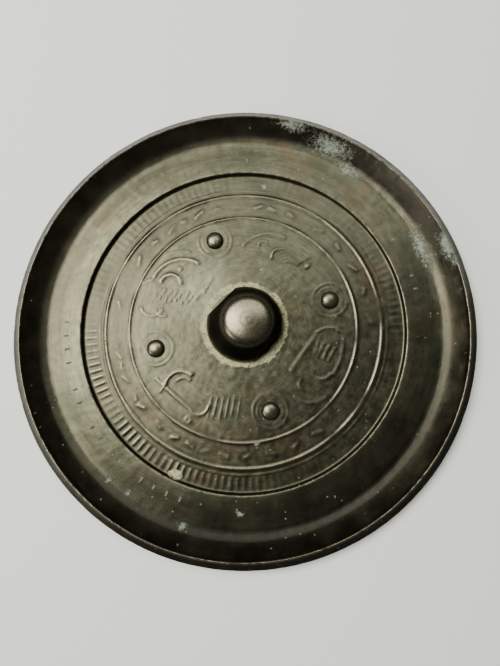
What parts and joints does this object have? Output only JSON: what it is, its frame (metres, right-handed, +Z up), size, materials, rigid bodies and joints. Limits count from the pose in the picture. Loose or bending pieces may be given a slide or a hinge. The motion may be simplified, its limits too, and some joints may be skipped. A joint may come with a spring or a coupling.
{
  "type": "ancient bronze mirror",
  "caption": "Round cast bronze mirror lying on its polished face: raised rim, comb ring, nipples, low-relief beasts and a pierced central knob on its back.",
  "frame": {"origin": "middle of the polished face, on the surface that the mirror lies on", "axes": "+Z up out of the decorated back; +X along the cord hole through the knob"},
  "size_m": [0.1144, 0.1144, 0.0106],
  "materials": {
    "bronze": "dark olive-brown bronze with a dull grey-green patina, worn satin on the high spots"
  },
  "bodies": {
    "root": {"mirror": "bronze"}
  },
  "joints": []
}
